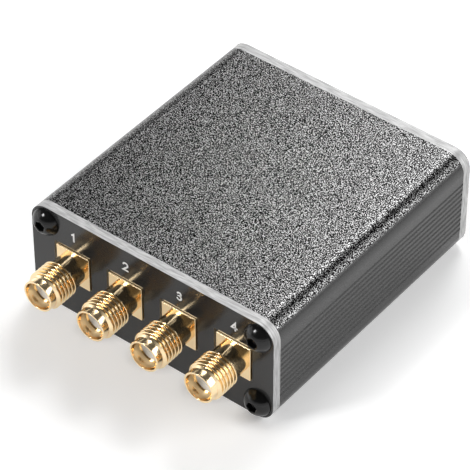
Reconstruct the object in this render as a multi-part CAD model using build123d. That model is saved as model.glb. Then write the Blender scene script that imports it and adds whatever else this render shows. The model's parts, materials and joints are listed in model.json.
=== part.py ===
"""Active four-way radio splitter in a two-part extruded aluminium case.

The origin is the centre of the underside. +X runs along the row of output ports,
+Y runs from the output ports to the input side, and +Z is up. Lengths are in millimetres.
"""

from build123d import *

import math
import os

# Case
case_width = 45.0
case_height = 18.5
case_length = 45.0
case_corner_radius = 3.0
top_wall = 1.5
side_wall = 1.8

# Fine grooves along both sides, of which one hides the joint between the halves
groove_count = 10
groove_pitch = 1.0
groove_width = 0.5
groove_depth = 0.15
grooves_below_middle = 0.15
joint_groove = 6
lap_leaf = 0.9
lap_clearance = 0.05

# Ledges that hold the edges of the board
ledge_reach = 0.8
ledge_thickness = 1.2
board_grip_clearance = 0.05

# Screw channels in the corners of the extrusions
screw_inset = 2.8
channel_wall = 1.05
channel_slit = 1.1
thread_clearance = 0.05

# Screws: button heads on the front plate and countersunk heads in the rear plate
screw_diameter = 3.0
screw_length = 8.0
head_diameter = 5.5
head_height = 1.65
head_rim = 0.6
head_crown_flat = 3.0
countersunk_diameter = 5.5
countersunk_angle = 90.0
socket_across_flats = 2.0
socket_depth = 1.1

# End plates
plate_thickness = 1.6
screw_hole_clearance = 0.2
cutout_clearance = 0.15
cutout_side_room = 0.45

# Circuit board, with its upper face at half the height of the case
board_thickness = 1.6
board_side_clearance = 0.15
board_end_clearance = 0.1

# Coaxial jacks
port_count = 4
port_margin = 7.5
port_row_offset = 0.45
input_margin = 12.5
flange_size = 6.2
flange_thickness = 2.0
neck_diameter = 5.3
neck_length = 2.8
thread_diameter = 6.2
thread_length = 3.95
collar_diameter = 5.25
collar_length = 1.2
mouth_diameter = 4.6
mouth_depth = 1.9
insulator_diameter = 4.1
insulator_clearance = 0.02
leg_width = 1.0
leg_height = 1.0
leg_length = 4.0

# The input jack is set back: its flange is behind the rear plate, in a notch of the board
input_flange_gap = 0.3
barrel_hole_clearance = 0.2
notch_clearance = 0.3

# Centre contact of a jack
contact_diameter = 1.27
contact_bore = 0.92
contact_bore_depth = 3.2
contact_slit = 0.18
contact_slit_length = 2.4
contact_recess = 0.05
contact_clearance = 0.02
tail_width = 0.76
tail_length = 3.0

# Power socket on the input side
power_margin = 12.0
power_socket_width = 8.94
power_socket_height = 3.26
power_socket_depth = 7.35
power_socket_recess = 0.2
power_shell_thickness = 0.3
power_cutout_clearance = 0.2
power_insert_depth = 2.9
power_insert_clearance = 0.02
tongue_width = 6.6
tongue_thickness = 0.7
tongue_setback = 0.6
power_tab_width = 1.1
power_tab_length = 1.3
power_tab_spacing = 4.2
power_tab_clearance = 0.1

# Small packages on the board: body sizes are along X, along Y and in height
amplifier_body = (4.5, 2.5, 1.5)
amplifier_lead_pitch = 1.5
amplifier_lead_width = 0.45
amplifier_lead_reach = 0.9
amplifier_tab_width = 1.7
regulator_body = (6.5, 3.5, 1.6)
regulator_lead_pitch = 2.3
regulator_lead_width = 0.7
regulator_lead_reach = 1.7
regulator_tab_width = 3.0
lead_thickness = 0.3
package_draft_break = 0.25
divider_body = (3.2, 1.6, 0.95)
divider_terminal_pitch = 1.1
divider_terminal_width = 0.45
choke_body = (4.0, 4.0, 1.8)
choke_corner_cut = 0.7
choke_terminal_width = 1.6
choke_terminal_reach = 0.3
can_diameter = 4.0
can_height = 4.6
can_base_size = 4.3
can_base_height = 0.8
can_base_cut = 1.0
chip_length = 1.6
chip_width = 0.8
chip_cap_length = 0.35
terminal_step = 0.04
capacitor_height = 0.8
resistor_height = 0.45

# Places of the packages, measured from the input jack and from the edges of the board
amplifier_from_input_jack = 11.5
input_capacitor_from_input_jack = 5.6
stage_capacitor_from_input_jack = 15.5
first_divider_from_input_jack = 20.5
second_dividers_from_port_edge = 11.5
isolation_resistors_spacing = 3.2
output_capacitors_from_port_edge = 5.4
regulator_from_input_edge = 14.0
choke_from_input_edge = 21.5
supply_can_from_input_edge = 21.5
supply_column_spacing = 6.0

# Places that follow from the sizes above
lowest_groove = case_height / 2 - grooves_below_middle - groove_pitch * (groove_count - 1) / 2
groove_heights = [lowest_groove + groove_pitch * i for i in range(groove_count)]
seam_height = lowest_groove + groove_pitch * joint_groove
board_top = case_height / 2
board_bottom = board_top - board_thickness
leaf_x = case_width / 2 - lap_leaf
cavity_x = case_width / 2 - side_wall
ledge_x = cavity_x - ledge_reach
grip_height = board_top + board_grip_clearance
board_width = 2 * (leaf_x - board_side_clearance)
board_length = case_length - 2 * board_end_clearance
input_edge_y = board_length / 2
port_edge_y = -board_length / 2
input_jack_y = case_length / 2 - input_flange_gap - flange_thickness
axis_height = board_top + tail_width / 2
port_pitch = (case_width - 2 * port_margin) / (port_count - 1)
port_xs = [port_row_offset + port_pitch * (i - (port_count - 1) / 2) for i in range(port_count)]
input_x = input_margin - case_width / 2
power_x = case_width / 2 - power_margin
power_axis_height = board_top + power_socket_height / 2
power_mouth_y = case_length / 2 + plate_thickness - power_socket_recess
screw_x = case_width / 2 - screw_inset
screw_heights = (screw_inset, case_height - screw_inset)
channel_diameter = screw_diameter + 2 * thread_clearance
barrel_end = flange_thickness + neck_length + thread_length + collar_length
reference_plane = barrel_end - mouth_depth


def facing(direction, x, y, height):
    """Plane at a point, with its z axis along direction * Y and its y axis up."""
    return Plane(origin=(x, y, height), x_dir=(-direction, 0, 0), z_dir=(0, direction, 0))


def turned(points):
    """Solid of revolution about Z from (radius, height) points."""
    outline = Polyline(*[(radius, 0, height) for radius, height in points], close=True)
    return revolve(make_face(outline), Axis.Z)


def band(x_low, x_high, low, high):
    """Rectangle between two x values and two values of the flat shape's other axis."""
    middle = Pos((x_low + x_high) / 2, (low + high) / 2)
    return middle * Rectangle(x_high - x_low, high - low)


def both_sides(x_low, x_high, z_low, z_high):
    return band(x_low, x_high, z_low, z_high) + band(-x_high, -x_low, z_low, z_high)


def block(size, bottom=0.0):
    """Box centred on the z axis, standing at a height."""
    return Pos(0, 0, bottom) * Box(*size, align=(Align.CENTER, Align.CENTER, Align.MIN))


def case_outline():
    return Pos(0, case_height / 2) * RectangleRounded(case_width, case_height, case_corner_radius)


def channel_blocks():
    """Blocks in the corners of the cavity, which hold the screw channels."""
    reach = screw_inset + channel_diameter / 2 + channel_wall
    lower = both_sides(case_width / 2 - reach, case_width / 2, 0, reach)
    return lower + both_sides(case_width / 2 - reach, case_width / 2, case_height - reach, case_height)


def screw_channels():
    """Round channels, each open to the cavity through a slit along its diagonal."""
    channels = Sketch()
    slit_run = channel_diameter + 2 * channel_wall
    for side in (-1, 1):
        for height, inwards in zip(screw_heights, (1, -1)):
            slit = Pos(slit_run / 2, 0) * Rectangle(slit_run, channel_slit)
            channel = Circle(channel_diameter / 2) + Rot(0, 0, inwards * (90 + 45 * side)) * slit
            channels += Pos(side * screw_x, height) * channel
    return channels


def case_section():
    """Section of both halves: walls, screw channels, board ledges and side grooves."""
    cavity = band(-cavity_x, cavity_x, top_wall, case_height - top_wall)
    section = case_outline() - (cavity - channel_blocks())
    section += both_sides(ledge_x, leaf_x, board_bottom - ledge_thickness, board_bottom)
    section += both_sides(ledge_x, leaf_x, grip_height, grip_height + ledge_thickness)
    section -= screw_channels()
    half_width = groove_width / 2
    groove = Polygon((-groove_depth, 0), (0, -half_width), (groove_depth, 0), (0, half_width))
    for height in groove_heights:
        for side in (-1, 1):
            section -= Pos(side * case_width / 2, height) * groove
    return section


def extruded_case(section):
    return extrude(Plane.XZ * section, amount=case_length / 2, both=True)


def lower_region():
    """What belongs to the lower half: all below the board, and an outer leaf up to the seam."""
    below_board = band(-case_width / 2, case_width / 2, 0, board_bottom)
    return below_board + both_sides(leaf_x, case_width / 2, board_bottom, seam_height)


def upper_region():
    """What belongs to the upper half: all above the seam, and an inner leaf down to the board."""
    above_seam = band(-case_width / 2, case_width / 2, seam_height, case_height)
    inner_leaf_x = leaf_x - lap_clearance
    return above_seam + both_sides(0, inner_leaf_x, grip_height, seam_height)


def case_base():
    return extruded_case(case_section() & lower_region())


def case_cover():
    return extruded_case(case_section() & upper_region())


def jack_cutout():
    """Square opening for a jack's flange, with more room on the port row's left side."""
    height = flange_size + 2 * cutout_clearance
    width = height + cutout_side_room
    return Pos(-cutout_side_room / 2, 0) * Rectangle(width, height)


def end_plate(direction, openings):
    """Plate against an end of the case; openings are flat shapes as seen from the front."""
    sketch = case_outline() - openings
    hole = Circle(screw_diameter / 2 + screw_hole_clearance)
    for side in (-1, 1):
        for height in screw_heights:
            sketch -= Pos(side * screw_x, height) * hole
    inner_y = direction * case_length / 2
    plane = Plane(origin=(0, inner_y, 0), x_dir=(1, 0, 0), z_dir=(0, -1, 0))
    return extrude(plane * sketch, amount=-direction * plate_thickness)


def front_plate():
    openings = [Pos(x, axis_height) * jack_cutout() for x in port_xs]
    return end_plate(-1, openings)


def rear_plate():
    """Plate with a round hole for the input jack's barrel and countersunk screw holes."""
    socket_height = power_socket_height + 2 * power_cutout_clearance
    socket_width = power_socket_width + 2 * power_cutout_clearance
    socket = SlotOverall(socket_width, socket_height)
    openings = [
        Pos(input_x, axis_height) * Circle(thread_diameter / 2 + barrel_hole_clearance),
        Pos(power_x, power_axis_height) * socket,
    ]
    return end_plate(1, openings) - at_screws(1, countersink())


def at_screws(direction, shape):
    """Four copies of a shape, at the screws on the outer face of an end plate."""
    face_y = direction * (case_length / 2 + plate_thickness)
    places = [(side * screw_x, height) for side in (-1, 1) for height in screw_heights]
    return [facing(direction, x, face_y, height) * shape for x, height in places]


def countersink():
    """Cone with its base on z = 0 and its tip below."""
    radius = countersunk_diameter / 2
    return turned([(0, -radius / math.tan(math.radians(countersunk_angle / 2))), (radius, 0), (0, 0)])


def shank():
    """Plain at the thread's outside diameter, from z = 0 down."""
    return Cylinder(screw_diameter / 2, screw_length, align=(Align.CENTER, Align.CENTER, Align.MAX))


def screw_socket(top):
    """Hexagonal hole from a height down."""
    hexagon = RegularPolygon(socket_across_flats / 2, 6, major_radius=False)
    return extrude(Plane.XY.offset(top) * hexagon, amount=-socket_depth)


def button_screw():
    """The head rests on z = 0 and the shank runs down from there."""
    rim_radius = head_diameter / 2
    crown_radius = head_crown_flat / 2
    head = turned(
        [(0, 0), (rim_radius, 0), (rim_radius, head_rim), (crown_radius, head_height), (0, head_height)]
    )
    return head + shank() - screw_socket(head_height)


def countersunk_screw():
    """The top of the head is flush with z = 0."""
    return countersink() + shank() - screw_socket(0)


def panel_screws():
    return Part() + at_screws(-1, button_screw())


def rear_screws():
    return Part() + at_screws(1, countersunk_screw())


def jack_body():
    """Shell of a jack: z = 0 is at the board's edge or notch, and the mouth faces +Z."""
    neck_end = flange_thickness + neck_length
    thread_end = neck_end + thread_length
    neck_radius = neck_diameter / 2
    thread_radius = thread_diameter / 2
    collar_radius = collar_diameter / 2
    barrel = turned(
        [
            (0, 0),
            (neck_radius, 0),
            (neck_radius, neck_end),
            (thread_radius, neck_end),
            (thread_radius, thread_end),
            (collar_radius, thread_end),
            (collar_radius, barrel_end),
            (0, barrel_end),
        ]
    )
    flange = block((flange_size, flange_size, flange_thickness))
    mouth_radius = mouth_diameter / 2
    seat_radius = insulator_diameter / 2
    hollow = turned(
        [
            (0, 0),
            (seat_radius, 0),
            (seat_radius, reference_plane),
            (mouth_radius, reference_plane),
            (mouth_radius, barrel_end),
            (0, barrel_end),
        ]
    )
    return flange + barrel - hollow + board_legs()


def board_legs():
    """Two legs above and two below the board, flush with the sides of the flange."""
    legs = []
    board_face = board_top - axis_height
    for side in (-1, 1):
        for middle in (board_face + leg_height / 2, board_face - board_thickness - leg_height / 2):
            leg = Box(leg_width, leg_height, leg_length, align=(Align.CENTER, Align.CENTER, Align.MAX))
            legs.append(Pos(side * (flange_size - leg_width) / 2, middle, 0) * leg)
    return legs


def jack_insulator():
    """Sleeve between the shell and the centre contact, flush with the mouth's floor."""
    outer = insulator_diameter / 2 - insulator_clearance
    inner = contact_diameter / 2 + contact_clearance
    return turned([(inner, 0), (outer, 0), (outer, reference_plane), (inner, reference_plane)])


def jack_contact():
    """Slit socket in the mouth and a square tail that lies on the board."""
    front = reference_plane - contact_recess
    radius = contact_diameter / 2
    bore_radius = contact_bore / 2
    bore_floor = front - contact_bore_depth
    contact = turned(
        [
            (0, 0),
            (radius, 0),
            (radius, front),
            (bore_radius, front),
            (bore_radius, bore_floor),
            (0, bore_floor),
        ]
    )
    for angle in (0, 90):
        slit = Box(contact_diameter * 2, contact_slit, contact_slit_length)
        contact -= Pos(0, 0, front - contact_slit_length / 2) * Rot(0, 0, angle) * slit
    return contact + block((tail_width, tail_width, tail_length), -tail_length)


def power_tab_places():
    """Corners of the power socket where its shell goes through the board, from its mouth."""
    first = power_socket_depth - power_tab_width
    side_x = (power_socket_width - power_shell_thickness) / 2
    return [(side * side_x, -run) for side in (-1, 1) for run in (first, first - power_tab_spacing)]


def power_frame():
    """Plane at the middle of the power socket's mouth, with z out of it."""
    return facing(1, power_x, power_mouth_y, power_axis_height)


def power_socket_shell():
    """Drawn steel shell with four tabs through the board."""
    outer = SlotOverall(power_socket_width, power_socket_height)
    inner = SlotOverall(
        power_socket_width - 2 * power_shell_thickness,
        power_socket_height - 2 * power_shell_thickness,
    )
    shell = extrude(outer - inner, amount=-power_socket_depth)
    tab_top = -power_shell_thickness
    tab_height = power_socket_height / 2 + power_tab_length + tab_top
    for x, run in power_tab_places():
        tab = Box(power_shell_thickness, tab_height, power_tab_width)
        shell += Pos(x, tab_top - tab_height / 2, run) * tab
    return power_frame() * shell


def power_socket_insert():
    """Moulded block at the back of the shell, with the contact tongue towards the mouth."""
    inner_width = power_socket_width - 2 * (power_shell_thickness + power_insert_clearance)
    inner_height = power_socket_height - 2 * (power_shell_thickness + power_insert_clearance)
    back = Plane.XY.offset(-power_socket_depth)
    insert = extrude(back * SlotOverall(inner_width, inner_height), amount=power_insert_depth)
    tongue_length = power_socket_depth - power_insert_depth - tongue_setback
    tongue = block((tongue_width, tongue_thickness, tongue_length), power_insert_depth - power_socket_depth)
    tip_edges = tongue.faces().sort_by(Axis.Z)[-1].edges().filter_by(Axis.X)
    insert += chamfer(tip_edges, tongue_thickness / 4)
    return power_frame() * insert


def circuit_board():
    """Board between the ledges, with a notch for the input jack and slots for the power socket."""
    half_notch = flange_size / 2 + notch_clearance
    notch = band(input_x - half_notch, input_x + half_notch, input_jack_y, input_edge_y)
    board = Rectangle(board_width, board_length) - notch
    slot_width = power_shell_thickness + 2 * power_tab_clearance
    slot_run = power_tab_width + 2 * power_tab_clearance
    for x, run in power_tab_places():
        board -= Pos(power_x - x, power_mouth_y + run) * Rectangle(slot_width, slot_run)
    return Pos(0, 0, board_bottom) * extrude(board, amount=board_thickness)


def on_board(x, y, shape):
    return Pos(x, y, board_top) * shape


def leaded_package(body, lead_pitch, lead_width, lead_reach, tab_width):
    """Moulded package with three leads on one side and a wide tab on the other."""
    width, depth, height = body
    case = block(body)
    case = chamfer(case.faces().sort_by(Axis.Z)[-1].edges(), package_draft_break)
    lead_size = (lead_width, lead_reach, lead_thickness)
    for i in (-1, 0, 1):
        case += Pos(i * lead_pitch, -(depth + lead_reach) / 2) * block(lead_size)
    tab_size = (tab_width, lead_reach, lead_thickness)
    return case + Pos(0, (depth + lead_reach) / 2) * block(tab_size)


def amplifier_chip():
    package = leaded_package(
        amplifier_body,
        amplifier_lead_pitch,
        amplifier_lead_width,
        amplifier_lead_reach,
        amplifier_tab_width,
    )
    return on_board(input_x, input_jack_y - amplifier_from_input_jack, package)


def regulator_chip():
    package = leaded_package(
        regulator_body,
        regulator_lead_pitch,
        regulator_lead_width,
        regulator_lead_reach,
        regulator_tab_width,
    )
    return on_board(power_x, input_edge_y - regulator_from_input_edge, package)


def divider():
    """Layered ceramic divider with three terminals wrapped round its long sides."""
    width, depth, height = divider_body
    body = block((width, depth - terminal_step, height - terminal_step))
    terminal = block((divider_terminal_width, depth, height))
    return body + [Pos(i * divider_terminal_pitch) * terminal for i in (-1, 0, 1)]


def first_divider():
    return on_board(port_row_offset, input_jack_y - first_divider_from_input_jack, divider())


def second_divider(pair):
    """Divider between two neighbouring ports; pair 0 is the left pair."""
    middle = (port_xs[2 * pair] + port_xs[2 * pair + 1]) / 2
    return on_board(middle, port_edge_y + second_dividers_from_port_edge, divider())


def bias_choke():
    """Shielded choke: a square ferrite block with cut corners and a terminal at each end."""
    length, width, height = choke_body
    body = block((length - 2 * terminal_step, width, height))
    body = chamfer(body.edges().filter_by(Axis.Z), choke_corner_cut)
    foot = block((choke_terminal_reach, choke_terminal_width, height / 2))
    foot_x = (length - choke_terminal_reach) / 2
    choke = body + [Pos(side * foot_x) * foot for side in (-1, 1)]
    x = power_x - supply_column_spacing / 2
    return on_board(x, input_edge_y - choke_from_input_edge, choke)


def supply_capacitor():
    """Aluminium can on a square base with two cut corners."""
    base = block((can_base_size, can_base_size, can_base_height))
    base = chamfer(base.edges().filter_by(Axis.Z).group_by(Axis.Y)[0], can_base_cut)
    can = Cylinder(can_diameter / 2, can_height, align=(Align.CENTER, Align.CENTER, Align.MIN))
    x = power_x + supply_column_spacing / 2
    capacitor = base + Pos(0, 0, can_base_height) * can
    return on_board(x, input_edge_y - supply_can_from_input_edge, capacitor)


def chip_part(height):
    """Two-terminal chip part lying along Y, with a slightly proud cap on each end."""
    body = block((chip_width - terminal_step, chip_length - chip_cap_length, height - terminal_step))
    cap = block((chip_width, chip_cap_length, height))
    cap_y = (chip_length - chip_cap_length) / 2
    return body + Pos(0, cap_y) * cap + Pos(0, -cap_y) * cap


def coupling_capacitors():
    """One at the input, one between the stages and one behind each output port."""
    capacitor = chip_part(capacitor_height)
    output_y = port_edge_y + output_capacitors_from_port_edge
    placed = [on_board(x, output_y, capacitor) for x in port_xs]
    for from_jack in (input_capacitor_from_input_jack, stage_capacitor_from_input_jack):
        placed.append(on_board(input_x, input_jack_y - from_jack, capacitor))
    return Part() + placed


def isolation_resistors():
    """One in front of each divider, across its two outputs."""
    resistor = Rot(0, 0, 90) * chip_part(resistor_height)
    first_y = input_jack_y - first_divider_from_input_jack - isolation_resistors_spacing
    second_y = port_edge_y + second_dividers_from_port_edge - isolation_resistors_spacing
    placed = [on_board(port_row_offset, first_y, resistor)]
    for pair in (0, 1):
        middle = (port_xs[2 * pair] + port_xs[2 * pair + 1]) / 2
        placed.append(on_board(middle, second_y, resistor))
    return Part() + placed


parts = {
    "case_base": case_base(),
    "case_cover": case_cover(),
    "front_plate": front_plate(),
    "rear_plate": rear_plate(),
    "panel_screws": panel_screws(),
    "rear_screws": rear_screws(),
    "circuit_board": circuit_board(),
    "power_socket_shell": power_socket_shell(),
    "power_socket_insert": power_socket_insert(),
    "amplifier_chip": amplifier_chip(),
    "regulator_chip": regulator_chip(),
    "first_divider": first_divider(),
    "second_divider_left": second_divider(0),
    "second_divider_right": second_divider(1),
    "bias_choke": bias_choke(),
    "supply_capacitor": supply_capacitor(),
    "coupling_capacitors": coupling_capacitors(),
    "isolation_resistors": isolation_resistors(),
}

jack_planes = {f"port_{i + 1}": facing(-1, x, port_edge_y, axis_height) for i, x in enumerate(port_xs)}
jack_planes["input"] = facing(1, input_x, input_jack_y, axis_height)
for jack, plane in jack_planes.items():
    parts[f"{jack}_jack_body"] = plane * jack_body()
    parts[f"{jack}_insulator"] = plane * jack_insulator()
    parts[f"{jack}_contact"] = plane * jack_contact()

os.makedirs("parts", exist_ok=True)
for name, shape in parts.items():
    shape.label = name
    export_step(shape, f"parts/{name}.step")
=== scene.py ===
"""Looks of the active radio splitter: finishes, jacks, screws, numerals, contacts and stage.

Everything is in metres in the part's frame: +X along the output ports, +Y to the input side, +Z up.
"""

import json
import math

import bmesh
import bpy
from mathutils import Matrix, Vector


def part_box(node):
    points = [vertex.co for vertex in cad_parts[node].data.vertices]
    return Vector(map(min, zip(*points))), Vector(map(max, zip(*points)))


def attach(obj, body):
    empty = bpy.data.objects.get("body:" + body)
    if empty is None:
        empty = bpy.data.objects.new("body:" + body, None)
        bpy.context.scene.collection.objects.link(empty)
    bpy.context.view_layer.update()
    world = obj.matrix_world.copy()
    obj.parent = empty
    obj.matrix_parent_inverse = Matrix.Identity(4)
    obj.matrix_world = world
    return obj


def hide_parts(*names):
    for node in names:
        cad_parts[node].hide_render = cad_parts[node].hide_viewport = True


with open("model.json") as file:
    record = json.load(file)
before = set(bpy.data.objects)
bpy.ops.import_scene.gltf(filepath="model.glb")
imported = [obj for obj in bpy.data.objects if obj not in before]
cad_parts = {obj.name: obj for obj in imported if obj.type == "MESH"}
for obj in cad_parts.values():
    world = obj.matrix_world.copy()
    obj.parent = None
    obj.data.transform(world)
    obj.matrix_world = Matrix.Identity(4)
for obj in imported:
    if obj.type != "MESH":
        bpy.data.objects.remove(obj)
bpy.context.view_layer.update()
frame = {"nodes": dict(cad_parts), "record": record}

MM = 0.001

# Camera
CAMERA_AIM = Vector((-1.31, -2.6, 7.91)) * MM
CAMERA_AZIMUTH = 38.16
CAMERA_ELEVATION = 42.61
CAMERA_DISTANCE = 430.65 * MM
CAMERA_LENS = 219.7
SENSOR_WIDTH = 36.0
CLIP_START = 0.01

# Coaxial jack, along its own axis from the back of the flange to the mouth
FLANGE_SIZE = 6.2 * MM
FLANGE_THICKNESS = 2.0 * MM
FLANGE_BREAK = 0.06 * MM
NECK_RADIUS = 2.65 * MM
NECK_END = 4.8 * MM
THREAD_END = 8.75 * MM
THREAD_RADIUS = 3.1 * MM
THREAD_DEPTH = 0.45 * MM
THREAD_SHARPNESS = 1.5
THREAD_PITCH = 25.4 * MM / 36
THREAD_ROWS_PER_TURN = 32
NECK_CHAMFER_SLOPE = 2.5
COLLAR_CHAMFER_SLOPE = 1.4
COLLAR_RADIUS = 2.625 * MM
BARREL_END = 9.95 * MM
RIM_BREAK = 0.08 * MM
MOUTH_RADIUS = 2.3 * MM
MOUTH_DEPTH = 1.9 * MM
SEAT_RADIUS = 2.05 * MM
LEG_SIZE = 1.0 * MM
LEG_LENGTH = 4.0 * MM
JACK_SEGMENTS = 80

# Button-head screws
HEAD_RADIUS = 2.35 * MM
HEAD_HEIGHT = 1.5 * MM
HEAD_RIM = 0.15 * MM
RIM_ROUND = 0.06 * MM
DOME_STEPS = 16
CROWN_RADIUS = 1.0 * MM
CROWN_BREAK = 0.05 * MM
SOCKET_ACROSS_FLATS = 1.6 * MM
SOCKET_DEPTH = 0.9 * MM
SOCKET_CHAMFER = 0.06 * MM
SOCKET_TIP_RADIUS = 0.4 * MM
SOCKET_TIP_DEPTH = 0.2 * MM
SCREW_INSET = 2.8 * MM
SHANK_RADIUS = 1.25 * MM
SHANK_LENGTH = 8.0 * MM
SCREW_SEGMENTS = 72
SCREW_TURNS = (12.0, 41.0)

# Numerals printed above the output ports
NUMERAL_HEIGHT = 1.4 * MM
NUMERAL_STROKE = 0.29 * MM
NUMERAL_CENTRE_Z = 15.4 * MM
INK_THICKNESS = 0.02 * MM
MITRE_LIMIT = 0.35
SAME_POINT = 1e-9

# Contact strips on the tongue of the power socket
STRIP_COUNT = 12
STRIP_PITCH = 0.5 * MM
STRIP_SIZE = Vector((0.25, 3.2, 0.03)) * MM
STRIP_SETBACK = 0.25 * MM
HALF_TONGUE = 0.35 * MM

# Stage
FLOOR_SIZE = 6.0
FLOOR_GREY = 0.9
FLOOR_GLOW = 0.28
CEILING_LEVEL = 0.08
LAMP_DISTANCE = 0.7

# Faces of a box over its corners, which run along x, then y, then z
BOX_FACES = [(0, 2, 3, 1), (4, 5, 7, 6), (0, 1, 5, 4), (2, 6, 7, 3), (0, 4, 6, 2), (1, 3, 7, 5)]


def mesh_object(name, vertices, faces):
    mesh = bpy.data.meshes.new(name)
    mesh.from_pydata(vertices, [], faces)
    mesh.update()
    piece = bpy.data.objects.new(name, mesh)
    bpy.context.scene.collection.objects.link(piece)
    return piece


def smooth(piece, angle=30.0):
    """Smooth shading, apart from edges sharper than an angle in degrees."""
    piece.data.shade_smooth()
    piece.data.set_sharp_from_angle(angle=math.radians(angle))


def turned(name, rows, segments, looped=False):
    """Closed surface through rings; a row gives (radius, height) for an angle.

    A looped surface joins its last ring to its first. Otherwise both ends close on the axis.
    """
    vertices = []
    for row in rows:
        for i in range(segments):
            angle = 2 * math.pi * i / segments
            radius, height = row(angle)
            vertices.append((radius * math.cos(angle), radius * math.sin(angle), height))
    faces = []
    for k in range(len(rows) if looped else len(rows) - 1):
        low = k * segments
        high = (k + 1) % len(rows) * segments
        for i in range(segments):
            j = (i + 1) % segments
            faces.append((low + i, low + j, high + j, high + i))
    if not looped:
        bottom = len(vertices)
        top = bottom + 1
        vertices += [(0, 0, rows[0](0)[1]), (0, 0, rows[-1](0)[1])]
        last = (len(rows) - 1) * segments
        for i in range(segments):
            j = (i + 1) % segments
            faces.append((bottom, j, i))
            faces.append((top, last + i, last + j))
    return mesh_object(name, vertices, faces)


def ring(radius, height):
    return lambda angle: (radius, height)


def rounded_edge(radius, height, size, first, last, steps=4):
    """Rings round an edge about a centre; angles run from 0, outwards, to 90, up."""
    angles = [math.radians(first + (last - first) * i / steps) for i in range(steps + 1)]
    return [ring(radius + size * math.cos(a), height + size * math.sin(a)) for a in angles]


def box_corners(low, high):
    return [(x, y, z) for z in (low[2], high[2]) for y in (low[1], high[1]) for x in (low[0], high[0])]


def block(name, low, high, bevel=0.0):
    """Closed box between two corners; a bevel breaks its edges."""
    piece = mesh_object(name, box_corners(low, high), BOX_FACES)
    if bevel:
        modifier = piece.modifiers.new("edges", "BEVEL")
        modifier.width = bevel
        apply_modifiers(piece)
    return piece


def apply_modifiers(piece):
    evaluated = piece.evaluated_get(bpy.context.evaluated_depsgraph_get())
    mesh = bpy.data.meshes.new_from_object(evaluated)
    piece.modifiers.clear()
    piece.data = mesh


def combine(target, other, operation="UNION"):
    """Joins a closed mesh to the target, or cuts it out of the target."""
    modifier = target.modifiers.new("combine", "BOOLEAN")
    modifier.operation = operation
    modifier.solver = "EXACT"
    modifier.object = other
    apply_modifiers(target)
    bpy.data.objects.remove(other)


def facing(direction, x, y, z):
    """Matrix that lays a piece's own +Z along direction * Y, with its own +Y up."""
    return Matrix(((-direction, 0, 0, x), (0, 0, direction, y), (0, 1, 0, z), (0, 0, 0, 1)))


def place_copy(source, name, matrix):
    """Copy of a piece's mesh, placed in the mesh itself."""
    mesh = source.data.copy()
    mesh.name = name
    mesh.transform(matrix)
    piece = bpy.data.objects.new(name, mesh)
    bpy.context.scene.collection.objects.link(piece)
    return piece


def dress(piece, material, slot, *nodes):
    """Gives a new piece its finish and its body, and hides the nodes that it stands for."""
    piece.data.materials.clear()
    piece.data.materials.append(material)
    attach(piece, "root")
    if nodes:
        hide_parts(*nodes)


# Materials


def new_material(name, **inputs):
    """Material with one principled shader; inputs are written with _ for each space."""
    material = bpy.data.materials.new(name)
    material.use_nodes = True
    tree = material.node_tree
    shader = tree.nodes["Principled BSDF"]
    for key, value in inputs.items():
        shader.inputs[key.replace("_", " ")].default_value = value
    return material, tree, shader


def add(tree, kind, inputs, **settings):
    """New node; an input is a value or the output that feeds it."""
    made = tree.nodes.new(kind)
    for key, value in settings.items():
        setattr(made, key, value)
    for key, value in inputs.items():
        if isinstance(value, bpy.types.NodeSocket):
            tree.links.new(value, made.inputs[key])
        else:
            made.inputs[key].default_value = value
    return made


def grey(level):
    return (level, level, level, 1.0)


def coordinates(tree, output="Object"):
    return add(tree, "ShaderNodeTexCoord", {}).outputs[output]


def stretched(tree, factors):
    """Object coordinates, stretched along each axis."""
    return add(tree, "ShaderNodeMapping", {"Vector": coordinates(tree), "Scale": factors}).outputs[0]


def noise(tree, vector, scale, detail):
    inputs = {"Vector": vector, "Scale": scale, "Detail": detail}
    return add(tree, "ShaderNodeTexNoise", inputs).outputs["Fac"]


def ranged(tree, value, low, high, to_low, to_high):
    inputs = {"Value": value, "From Min": low, "From Max": high, "To Min": to_low, "To Max": to_high}
    return add(tree, "ShaderNodeMapRange", inputs).outputs["Result"]


def mixed(tree, factor, first, second):
    return add(tree, "ShaderNodeMix", {0: factor, 6: first, 7: second}, data_type="RGBA").outputs[2]


def multiplied(tree, first, second):
    return add(tree, "ShaderNodeMath", {0: first, 1: second}, operation="MULTIPLY").outputs[0]


def bumped(tree, shader, height, distance, strength=1.0):
    made = add(tree, "ShaderNodeBump", {"Height": height, "Distance": distance, "Strength": strength})
    tree.links.new(made.outputs[0], shader.inputs["Normal"])


def facing_share(tree, axis, low, high):
    """0 to 1 as the surface turns to face an axis, either way along it."""
    parts = add(tree, "ShaderNodeSeparateXYZ", {0: coordinates(tree, "Normal")})
    size = add(tree, "ShaderNodeMath", {0: parts.outputs[axis]}, operation="ABSOLUTE")
    return ranged(tree, size.outputs[0], low, high, 0.0, 1.0)


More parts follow.
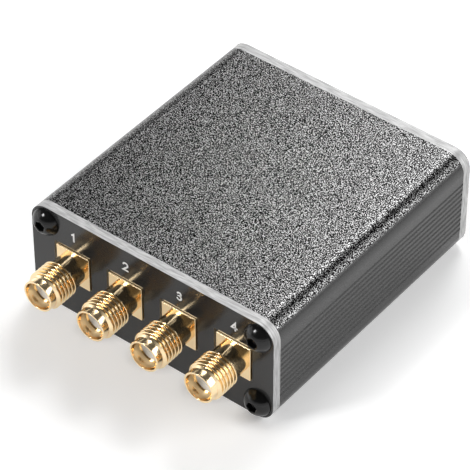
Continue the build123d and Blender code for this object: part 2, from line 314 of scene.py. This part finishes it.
def blasted_black():
    """Black anodised aluminium, bead blasted above and below and smooth along the sides, with painted
    shade: a darker grey on the groove walls and on the rounded edges between top and side.
    """
    material, tree, shader = new_material("black_case", Metallic=1.0)
    tilted = add(tree, "ShaderNodeMapping", {"Vector": coordinates(tree), "Rotation": (0.5, 0.7, 0.3)})
    grain = noise(tree, tilted.outputs[0], 6100.0, 0.0)
    blasted = facing_share(tree, "Z", 0.56, 0.66)
    fleck = ranged(tree, grain, 0.54, 0.62, 0.0, 1.0)
    speckle = mixed(tree, fleck, grey(0.006), grey(0.275))
    drawn = noise(tree, stretched(tree, (900.0, 12.0, 900.0)), 1.0, 3.0)
    flat = mixed(tree, drawn, grey(0.07), grey(0.1))
    # Painted shade: where a side surface does not face straight sideways, on the groove walls and the
    # rounded edges, the colour drops to a darker grey.
    side_grain_and_painted_groove_shade = mixed(tree, facing_share(tree, "X", 0.88, 0.96), grey(0.056), flat)
    tree.links.new(mixed(tree, blasted, side_grain_and_painted_groove_shade, speckle), shader.inputs["Base Color"])
    tree.links.new(ranged(tree, grain, 0.3, 0.7, 0.25, 0.33), shader.inputs["Roughness"])
    bumped(tree, shader, multiplied(tree, grain, blasted), 0.02 * MM)
    return material


def gloss_black_plate():
    """Gloss black faces; bare milled aluminium where the plate was cut."""
    material, tree, shader = new_material("black_plate", Specular_IOR_Level=0.4)
    face = facing_share(tree, "Y", 0.6, 0.7)
    streaks = noise(tree, stretched(tree, (500.0, 4000.0, 500.0)), 1.0, 3.0)
    bare = mixed(tree, ranged(tree, streaks, 0.35, 0.65, 0.0, 1.0), grey(0.34), grey(0.56))
    tree.links.new(mixed(tree, face, bare, grey(0.02)), shader.inputs["Base Color"])
    metallic = ranged(tree, face, 0.0, 1.0, 0.35, 0.0)
    tree.links.new(metallic, shader.inputs["Metallic"])
    haze = noise(tree, coordinates(tree), 350.0, 3.0)
    worn = add(tree, "ShaderNodeMath", {0: haze, 1: 0.05, 2: 0.16}, operation="MULTIPLY_ADD").outputs[0]
    rough = add(tree, "ShaderNodeMix", {0: face, 2: 0.5, 3: worn}).outputs[0]
    tree.links.new(rough, shader.inputs["Roughness"])
    return material


def gold_plate():
    """Bright gold plate over turned brass, with faint tool marks."""
    material, tree, shader = new_material("gold_plate", Metallic=1.0)
    tone = noise(tree, coordinates(tree), 420.0, 3.0)
    colour = mixed(tree, tone, (0.88, 0.65, 0.36, 1.0), (0.96, 0.78, 0.51, 1.0))
    tree.links.new(colour, shader.inputs["Base Color"])
    marks = noise(tree, stretched(tree, (60.0, 14000.0, 60.0)), 1.0, 2.0)
    tree.links.new(ranged(tree, marks, 0.3, 0.7, 0.14, 0.22), shader.inputs["Roughness"])
    bumped(tree, shader, marks, 0.002 * MM, 0.5)
    return material


def black_screw():
    material, tree, shader = new_material("black_screw", Base_Color=grey(0.006), Specular_IOR_Level=0.4)
    smut = noise(tree, coordinates(tree), 1400.0, 3.0)
    tree.links.new(ranged(tree, smut, 0.3, 0.7, 0.12, 0.22), shader.inputs["Roughness"])
    bumped(tree, shader, smut, 0.004 * MM, 0.4)
    return material


def two_tone(name, scale, dark, light, roughness, bump, metallic=0.0, stretch=(1.0, 1.0, 1.0)):
    """Material that varies between two colours, with a bump of the same grain."""
    material, tree, shader = new_material(name, Roughness=roughness, Metallic=metallic)
    grain = noise(tree, stretched(tree, stretch), scale, 3.0)
    colour = mixed(tree, ranged(tree, grain, 0.35, 0.65, 0.0, 1.0), (*dark, 1.0), (*light, 1.0))
    tree.links.new(colour, shader.inputs["Base Color"])
    bumped(tree, shader, grain, bump)
    return material


def finishes():
    """Materials by the name of the record's material slot."""
    return {
        "black_case": blasted_black(),
        "black_plate": gloss_black_plate(),
        "gold_plate": gold_plate(),
        "black_screw": black_screw(),
        "white_insulator": two_tone(
            "white_insulator", 900.0, (0.8, 0.8, 0.79), (0.88, 0.88, 0.87), 0.35, 0.004 * MM
        ),
        "board": two_tone("board", 700.0, (0.01, 0.07, 0.03), (0.015, 0.1, 0.04), 0.3, 0.01 * MM),
        "steel_shell": two_tone(
            "steel_shell",
            1.0,
            (0.5, 0.5, 0.51),
            (0.62, 0.62, 0.63),
            0.28,
            0.004 * MM,
            metallic=1.0,
            stretch=(400.0, 4000.0, 400.0),
        ),
        "black_plastic": two_tone(
            "black_plastic", 2500.0, (0.012, 0.012, 0.012), (0.02, 0.02, 0.02), 0.45, 0.01 * MM
        ),
        "ferrite": two_tone("ferrite", 3000.0, (0.03, 0.03, 0.03), (0.06, 0.06, 0.058), 0.5, 0.01 * MM),
        "bright_aluminium": two_tone(
            "bright_aluminium",
            1.0,
            (0.6, 0.6, 0.61),
            (0.75, 0.75, 0.76),
            0.25,
            0.003 * MM,
            metallic=1.0,
            stretch=(300.0, 300.0, 5000.0),
        ),
        "chip_ceramic": two_tone(
            "chip_ceramic", 2500.0, (0.3, 0.24, 0.17), (0.42, 0.35, 0.26), 0.4, 0.004 * MM
        ),
    }


def white_ink():
    return two_tone("white_ink", 4000.0, (0.88, 0.88, 0.88), (0.94, 0.94, 0.94), 0.45, 0.004 * MM)


# Jacks


def thread_row(height):
    """Ring of the thread: a rounded right-hand helix, cut back by a chamfer at both ends."""

    def place(angle):
        turn = height / THREAD_PITCH - angle / (2 * math.pi)
        wave = math.tanh(THREAD_SHARPNESS * math.cos(2 * math.pi * turn)) / math.tanh(THREAD_SHARPNESS)
        radius = THREAD_RADIUS - THREAD_DEPTH * (1 - wave) / 2
        from_neck = NECK_RADIUS + NECK_CHAMFER_SLOPE * (height - NECK_END)
        from_collar = COLLAR_RADIUS + COLLAR_CHAMFER_SLOPE * (THREAD_END - height)
        return min(radius, from_neck, from_collar), height

    return place


def jack_body():
    """Square flange, neck, thread, collar and mouth of a jack, with its four legs."""
    row_count = round((THREAD_END - NECK_END) / THREAD_PITCH * THREAD_ROWS_PER_TURN)
    step = (THREAD_END - NECK_END) / row_count
    mouth_floor = BARREL_END - MOUTH_DEPTH
    rim_height = BARREL_END - RIM_BREAK
    rows = [
        ring(NECK_RADIUS, 0),
        *[thread_row(NECK_END + step * k) for k in range(row_count + 1)],
        *rounded_edge(COLLAR_RADIUS - RIM_BREAK, rim_height, RIM_BREAK, 0, 90),
        *rounded_edge(MOUTH_RADIUS + RIM_BREAK, rim_height, RIM_BREAK, 90, 180),
        ring(MOUTH_RADIUS, mouth_floor),
        ring(SEAT_RADIUS, mouth_floor),
        ring(SEAT_RADIUS, 0),
    ]
    body = turned("jack_body", rows, JACK_SEGMENTS, looped=True)
    half = FLANGE_SIZE / 2
    flange = block("flange", (-half, -half, 0), (half, half, FLANGE_THICKNESS), FLANGE_BREAK)
    hole_radius = (SEAT_RADIUS + NECK_RADIUS) / 2
    hole_rows = [ring(hole_radius, -MM), ring(hole_radius, FLANGE_THICKNESS + MM)]
    combine(flange, turned("hole", hole_rows, JACK_SEGMENTS), "DIFFERENCE")
    combine(body, flange)
    board_low, board_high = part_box("circuit_board")
    axis_z = jack_axis("input")[2]
    for side in (-1, 1):
        leg_x = side * (half - LEG_SIZE / 2)
        for low_y in (board_high.z - axis_z, board_low.z - axis_z - LEG_SIZE):
            low = (leg_x - LEG_SIZE / 2, low_y, -LEG_LENGTH)
            high = (leg_x + LEG_SIZE / 2, low_y + LEG_SIZE, FLANGE_THICKNESS / 2)
            combine(body, block("leg", low, high))
    smooth(body)
    return body


def jack_axis(jack):
    """Where a jack's axis meets the back of its flange, and which way along Y its mouth faces."""
    low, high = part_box(f"{jack}_insulator")
    direction = 1 if jack == "input" else -1
    back = low.y if direction > 0 else high.y
    return (low.x + high.x) / 2, back, (low.z + high.z) / 2, direction


def add_jacks(finish, jacks):
    source = jack_body()
    for jack in jacks:
        x, y, z, direction = jack_axis(jack)
        piece = place_copy(source, f"{jack}_threaded_body", facing(direction, x, y, z))
        dress(piece, finish, "gold_plate", f"{jack}_jack_body")
    bpy.data.objects.remove(source)


# Screws


def screw():
    """Button head with a hexagon socket, and its shank."""
    rim_inner = HEAD_RADIUS - RIM_ROUND
    rise = HEAD_HEIGHT - HEAD_RIM
    drop = (HEAD_RADIUS**2 - CROWN_RADIUS**2 - rise**2) / (2 * rise)
    dome_radius = math.hypot(HEAD_RADIUS, drop)
    first = math.atan2(drop, HEAD_RADIUS)
    last = math.atan2(drop + rise, CROWN_RADIUS)
    angles = [first + (last - first) * i / DOME_STEPS for i in range(DOME_STEPS + 1)]
    dome = [
        ring(dome_radius * math.cos(a), HEAD_RIM - drop + dome_radius * math.sin(a)) for a in angles
    ]

    def hexagon(height):
        def place(angle):
            off_flat = (angle % (math.pi / 3)) - math.pi / 6
            return SOCKET_ACROSS_FLATS / 2 / math.cos(off_flat), height

        return place

    socket_floor = HEAD_HEIGHT - SOCKET_DEPTH
    rows = [
        ring(SHANK_RADIUS, -SHANK_LENGTH),
        ring(SHANK_RADIUS, 0),
        ring(rim_inner, 0),
        *rounded_edge(rim_inner, RIM_ROUND, RIM_ROUND, -90, 0),
        *rounded_edge(rim_inner, HEAD_RIM - RIM_ROUND, RIM_ROUND, 0, 30),
        *dome[1:],
        ring(CROWN_RADIUS - CROWN_BREAK, HEAD_HEIGHT),
        hexagon(HEAD_HEIGHT - SOCKET_CHAMFER),
        hexagon(socket_floor),
        ring(SOCKET_TIP_RADIUS, socket_floor - SOCKET_TIP_DEPTH),
    ]
    piece = turned("screw", rows, SCREW_SEGMENTS)
    smooth(piece)
    return piece


def add_screws(finish):
    """Four screws in the front plate, each turned by its own angle, as one piece."""
    source = screw()
    low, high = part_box("front_plate")
    placed = bmesh.new()
    for side, x in ((-1, low.x + SCREW_INSET), (1, high.x - SCREW_INSET)):
        for z, turn in ((low.z + SCREW_INSET, SCREW_TURNS[0]), (high.z - SCREW_INSET, SCREW_TURNS[1])):
            spin = Matrix.Rotation(math.radians(side * turn), 4, "Z")
            mesh = source.data.copy()
            mesh.transform(facing(-1, x, low.y, z) @ spin)
            placed.from_mesh(mesh)
            bpy.data.meshes.remove(mesh)
    placed.to_mesh(source.data)
    placed.free()
    source.name = "front_screws"
    dress(source, finish, "black_screw", "panel_screws")


# Numerals


def arc_points(x, y, radius, first, last, steps=14):
    angles = [math.radians(first + (last - first) * i / steps) for i in range(steps + 1)]
    return [(x + radius * math.cos(a), y + radius * math.sin(a)) for a in angles]


def numeral_strokes():
    """One stroke for each numeral from 1 to 4, on a height of 1."""
    return [
        [(0.06, 0.8), (0.3, 1.0), (0.3, 0.0)],
        [*arc_points(0.3, 0.71, 0.29, 165, -38), (0.0, 0.0), (0.6, 0.0)],
        [*arc_points(0.29, 0.77, 0.23, 155, -90), *arc_points(0.29, 0.27, 0.27, 90, -155)],
        [(0.46, 0.0), (0.46, 1.0), (0.0, 0.3), (0.66, 0.3)],
    ]


def stroke_outline(points, width):
    """Outline of a line of a width, with mitred corners and round ends."""
    half = width / 2
    points = [Vector(p) for p in points]
    points = [p for i, p in enumerate(points) if i == 0 or (p - points[i - 1]).length > SAME_POINT]
    runs = [(b - a).normalized() for a, b in zip(points, points[1:])]
    left = []
    right = []
    for i, point in enumerate(points):
        before = runs[max(i - 1, 0)]
        after = runs[min(i, len(runs) - 1)]
        middle = (before + after).normalized()
        normal = Vector((-middle.y, middle.x))
        reach = half / max(normal.dot(Vector((-after.y, after.x))), MITRE_LIMIT)
        left.append(point + normal * reach)
        right.append(point - normal * reach)

    def cap(point, run, steps=6):
        start = math.atan2(-run.x, run.y)
        turns = [start + math.pi * i / steps for i in range(1, steps)]
        return [point + half * Vector((math.cos(t), math.sin(t))) for t in turns]

    return right + cap(points[-1], runs[-1]) + left[::-1] + cap(points[0], -runs[0])


def add_numerals(finish, jacks):
    """Plain numerals in white ink, centred above the flanges."""
    plate_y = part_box("front_plate")[0].y
    for i, (jack, stroke) in enumerate(zip(jacks, numeral_strokes())):
        middle_x = (min(u for u, v in stroke) + max(u for u, v in stroke)) / 2
        outline = stroke_outline(
            [((u - middle_x) * NUMERAL_HEIGHT, (v - 0.5) * NUMERAL_HEIGHT) for u, v in stroke],
            NUMERAL_STROKE,
        )
        count = len(outline)
        vertices = [(p.x, p.y, h) for h in (-INK_THICKNESS, INK_THICKNESS) for p in outline]
        faces = [tuple(reversed(range(count))), tuple(range(count, 2 * count))]
        faces += [(k, (k + 1) % count, count + (k + 1) % count, count + k) for k in range(count)]
        piece = mesh_object(f"numeral_{i + 1}", vertices, faces)
        centre = Vector((jack_axis(jack)[0], plate_y, NUMERAL_CENTRE_Z))
        upright = Matrix.Rotation(math.pi / 2, 4, "X")
        piece.data.transform(Matrix.Translation(centre) @ upright)
        dress(piece, finish, "white_insulator")


def add_power_contacts(finish):
    """Contact strips on both faces of the power socket's tongue."""
    low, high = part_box("power_socket_insert")
    axis_x = (low.x + high.x) / 2
    axis_z = (low.z + high.z) / 2
    tip_y = high.y - STRIP_SETBACK
    vertices = []
    faces = []
    for side in (-1, 1):
        for i in range(STRIP_COUNT):
            x = axis_x + (i - (STRIP_COUNT - 1) / 2) * STRIP_PITCH
            z = axis_z + side * HALF_TONGUE
            start = len(vertices)
            low_corner = (x - STRIP_SIZE.x / 2, tip_y - STRIP_SIZE.y, z - STRIP_SIZE.z / 2)
            high_corner = (x + STRIP_SIZE.x / 2, tip_y, z + STRIP_SIZE.z / 2)
            vertices += box_corners(low_corner, high_corner)
            faces += [tuple(start + k for k in quad) for quad in BOX_FACES]
    piece = mesh_object("power_socket_contacts", vertices, faces)
    dress(piece, finish, "gold_plate")


# Stage


def floor_material():
    """White floor; camera and mirror rays see a little extra light, which keeps the shadows."""
    material = bpy.data.materials.new("floor")
    material.use_nodes = True
    tree = material.node_tree
    tree.nodes.clear()
    diffuse = add(tree, "ShaderNodeBsdfDiffuse", {"Color": grey(FLOOR_GREY)})
    path = add(tree, "ShaderNodeLightPath", {})
    seen = add(tree, "ShaderNodeMath", {0: path.outputs["Is Camera Ray"], 1: path.outputs["Is Glossy Ray"]})
    seen = add(tree, "ShaderNodeMath", {0: seen.outputs[0], 1: path.outputs["Is Transmission Ray"]})
    glow = add(tree, "ShaderNodeMath", {0: seen.outputs[0], 1: FLOOR_GLOW}, operation="MULTIPLY")
    emission = add(tree, "ShaderNodeEmission", {"Color": grey(1.0), "Strength": glow.outputs[0]})
    both = add(tree, "ShaderNodeAddShader", {0: diffuse.outputs[0], 1: emission.outputs[0]})
    add(tree, "ShaderNodeOutputMaterial", {"Surface": both.outputs[0]})
    return material


def add_floor():
    half = FLOOR_SIZE / 2
    corners = [(-half, -half, 0), (half, -half, 0), (half, half, 0), (-half, half, 0)]
    floor = mesh_object("floor", corners, [(0, 1, 2, 3)])
    floor.data.materials.append(floor_material())


def add_world():
    """Studio room: white up to a little above the horizon, with a dim ceiling."""
    world = bpy.data.worlds.new("studio")
    world.use_nodes = True
    bpy.context.scene.world = world
    tree = world.node_tree
    background = tree.nodes["Background"]
    parts = add(tree, "ShaderNodeSeparateXYZ", {0: coordinates(tree, "Generated")})
    level = ranged(tree, parts.outputs["Z"], 0.1, 0.3, 1.0, CEILING_LEVEL)
    tree.links.new(level, background.inputs["Strength"])
    background.inputs["Color"].default_value = grey(1.0)


def add_lamp(name, direction, size, radiance, roll=0.0):
    """Soft box that faces the part from a direction, rolled about that direction in degrees."""
    light = bpy.data.lights.new(name, "AREA")
    light.shape = "RECTANGLE"
    light.size, light.size_y = size
    light.energy = radiance * math.pi * size[0] * size[1]
    lamp = bpy.data.objects.new(name, light)
    bpy.context.scene.collection.objects.link(lamp)
    lamp.location = Vector(direction).normalized() * LAMP_DISTANCE
    towards = Vector(direction).to_track_quat("Z", "Y").to_matrix()
    lamp.rotation_euler = (towards @ Matrix.Rotation(math.radians(roll), 3, "Z")).to_euler()
    lamp.visible_camera = False


def add_lamps():
    """Key and right light from behind, a small lamp in front, and two fills from the left."""
    add_lamp("key", (-0.2, 0.64, 0.74), (0.29, 0.29), 9.5, roll=45.0)
    add_lamp("right_light", (0.74, 0.45, 0.48), (0.43, 0.42), 4.9)
    add_lamp("front_light", (-0.38, -0.6, 0.7), (0.15, 0.15), 26.0)
    add_lamp("left_fill", (-0.82, -0.48, 0.31), (0.5, 0.4), 1.1)
    add_lamp("left_back_fill", (-0.77, 0.59, 0.24), (0.35, 0.4), 1.1)


def add_camera():
    camera_data = bpy.data.cameras.new("camera")
    camera_data.lens = CAMERA_LENS
    camera_data.sensor_width = SENSOR_WIDTH
    camera_data.clip_start = CLIP_START
    camera = bpy.data.objects.new("camera", camera_data)
    bpy.context.scene.collection.objects.link(camera)
    azimuth = math.radians(CAMERA_AZIMUTH)
    elevation = math.radians(CAMERA_ELEVATION)
    away = Vector(
        (
            math.sin(azimuth) * math.cos(elevation),
            -math.cos(azimuth) * math.cos(elevation),
            math.sin(elevation),
        )
    )
    camera.location = CAMERA_AIM + away * CAMERA_DISTANCE
    camera.rotation_euler = away.to_track_quat("Z", "Y").to_euler()
    bpy.context.scene.camera = camera


materials = finishes()
for subpart in frame["record"]["subparts"]:
    node = frame["nodes"][subpart["node"]]
    node.data.materials.clear()
    node.data.materials.append(materials[subpart["material_slot"]])

output_jacks = ["port_1", "port_2", "port_3", "port_4"]
add_jacks(materials["gold_plate"], [*output_jacks, "input"])
add_screws(materials["black_screw"])
add_numerals(white_ink(), output_jacks)
add_power_contacts(materials["gold_plate"])

add_floor()
add_world()
add_lamps()
add_camera()
bpy.context.scene.view_settings.view_transform = "Standard"
